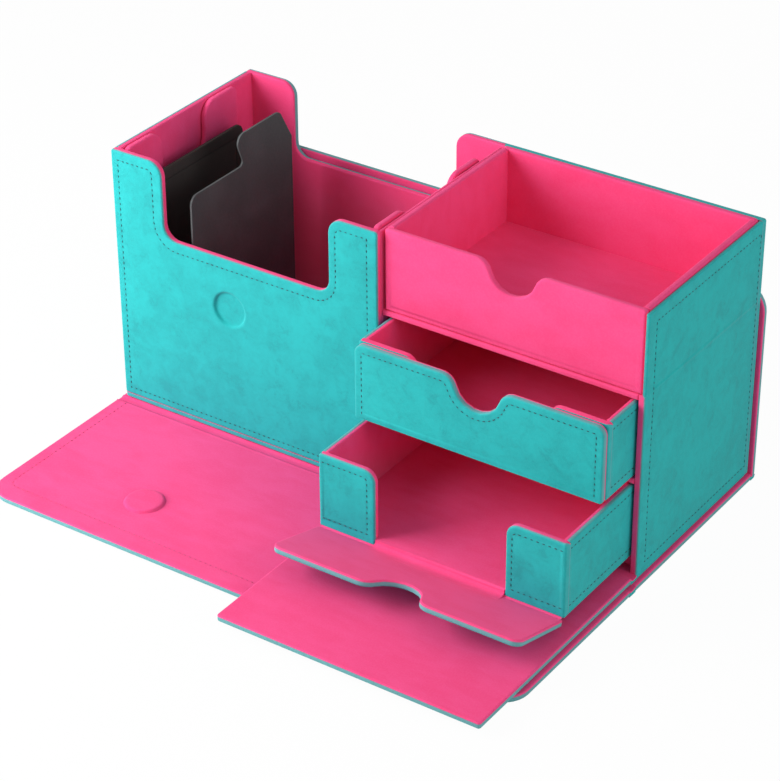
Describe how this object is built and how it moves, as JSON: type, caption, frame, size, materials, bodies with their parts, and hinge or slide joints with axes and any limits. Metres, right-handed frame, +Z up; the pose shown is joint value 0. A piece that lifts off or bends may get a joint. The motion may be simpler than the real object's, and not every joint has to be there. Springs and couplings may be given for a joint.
{
  "type": "playing card box with drawers",
  "caption": "Lined card box on a folding cover: open deck bay with spacers and dividers, cabinet with lift-out tray, sliding drawers with fold-down fronts and a full-height door.",
  "frame": {"origin": "on the table, under the middle of the case's footprint", "axes": "+X to the right as seen from the front, +Y to the back, +Z up"},
  "size_m": [0.241, 0.1966, 0.1159],
  "materials": {
    "teal_leatherette": "matt suede-like grain over stiff board, stitched near the edges",
    "pink_microfibre": "short-napped, matt",
    "black_board": "matt, near black",
    "grey_board": "matt, dark grey",
    "magnet_steel": "plain, sealed inside the front wall"
  },
  "bodies": {
    "cover": {"cover_panel": "teal_leatherette", "cover_panel_lining": "pink_microfibre", "cover_front_fold": "teal_leatherette", "cover_back_fold": "teal_leatherette"},
    "cover_front_flap": {"cover_front_board": "teal_leatherette", "cover_front_lining": "pink_microfibre", "cover_button": "pink_microfibre"},
    "cover_back_flap": {"cover_back_board": "teal_leatherette", "cover_back_lining": "pink_microfibre"},
    "case": {"case_base": "teal_leatherette", "case_left": "teal_leatherette", "case_right": "teal_leatherette", "case_front": "teal_leatherette", "case_back": "teal_leatherette", "case_magnet": "magnet_steel", "lining_floor": "pink_microfibre", "lining_left": "pink_microfibre", "lining_front": "pink_microfibre", "lining_back": "pink_microfibre", "lining_right": "pink_microfibre", "lining_cabinet_back": "pink_microfibre", "partition": "pink_microfibre", "plinth": "pink_microfibre", "shelf_lower": "pink_microfibre", "shelf_upper": "pink_microfibre", "door_fold": "teal_leatherette"},
    "door": {"door_board": "teal_leatherette", "door_lining": "pink_microfibre"},
    "tray": {"tray_floor": "pink_microfibre", "tray_front": "pink_microfibre", "tray_back": "pink_microfibre", "tray_sides": "pink_microfibre"},
    "upper_drawer": {"upper_floor": "teal_leatherette", "upper_sides": "teal_leatherette", "upper_back": "teal_leatherette", "upper_tabs": "teal_leatherette", "upper_lining": "pink_microfibre"},
    "upper_drawer_flap": {"upper_flap": "teal_leatherette", "upper_flap_lining": "pink_microfibre"},
    "lower_drawer": {"lower_floor": "teal_leatherette", "lower_sides": "teal_leatherette", "lower_back": "teal_leatherette", "lower_tabs": "teal_leatherette", "lower_lining": "pink_microfibre"},
    "lower_drawer_flap": {"lower_flap": "teal_leatherette", "lower_flap_lining": "pink_microfibre"},
    "left_spacer": {"spacer_left": "pink_microfibre"},
    "right_spacer": {"spacer_right": "pink_microfibre"},
    "plain_divider": {"divider_plain": "black_board"},
    "tab_divider": {"divider_tab": "grey_board"}
  },
  "joints": [
    {"name": "case_lift", "type": "slide", "parent": "cover", "child": "case", "axis": [0, 0, 1], "range_m": [0, 0.1]},
    {"name": "cover_front_hinge", "type": "hinge", "parent": "cover", "child": "cover_front_flap", "pos_m": [0, -0.0482, 0], "axis": [-1, 0, 0], "range_deg": [0, 2.8]},
    {"name": "cover_back_hinge", "type": "hinge", "parent": "cover", "child": "cover_back_flap", "pos_m": [0, 0.0482, 0], "axis": [1, 0, 0], "range_deg": [-90, 0]},
    {"name": "door_hinge", "type": "hinge", "parent": "case", "child": "door", "pos_m": [0.0625, -0.045, 0.0031], "axis": [-1, 0, 0], "range_deg": [0, 2.8]},
    {"name": "tray_lift", "type": "slide", "parent": "case", "child": "tray", "axis": [0, 0, 1], "range_m": [0, 0.04]},
    {"name": "upper_drawer_slide", "type": "slide", "parent": "case", "child": "upper_drawer", "axis": [0, 1, 0], "range_m": [-0.0497, 0.0223]},
    {"name": "upper_flap_hinge", "type": "hinge", "parent": "upper_drawer", "child": "upper_drawer_flap", "pos_m": [0.0618, -0.0608, 0.0464], "axis": [-1, 0, 0], "range_deg": [-90, 0]},
    {"name": "lower_drawer_slide", "type": "slide", "parent": "case", "child": "lower_drawer", "axis": [0, 1, 0], "range_m": [-0.0231, 0.0489]},
    {"name": "lower_flap_hinge", "type": "hinge", "parent": "lower_drawer", "child": "lower_drawer_flap", "pos_m": [0.0618, -0.0874, 0.011], "axis": [-1, 0, 0], "range_deg": [-16, 74]},
    {"name": "left_spacer_lift", "type": "slide", "parent": "case", "child": "left_spacer", "axis": [0, 0, 1], "range_m": [0, 0.11]},
    {"name": "right_spacer_lift", "type": "slide", "parent": "case", "child": "right_spacer", "axis": [0, 0, 1], "range_m": [0, 0.11]},
    {"name": "plain_divider_lift", "type": "slide", "parent": "case", "child": "plain_divider", "axis": [0, 0, 1], "range_m": [0, 0.11]},
    {"name": "tab_divider_lift", "type": "slide", "parent": "case", "child": "tab_divider", "axis": [0, 0, 1], "range_m": [0, 0.11]}
  ],
  "couplings": [
    {"joint": "door_hinge", "follows": "cover_front_hinge", "ratio": 1}
  ]
}
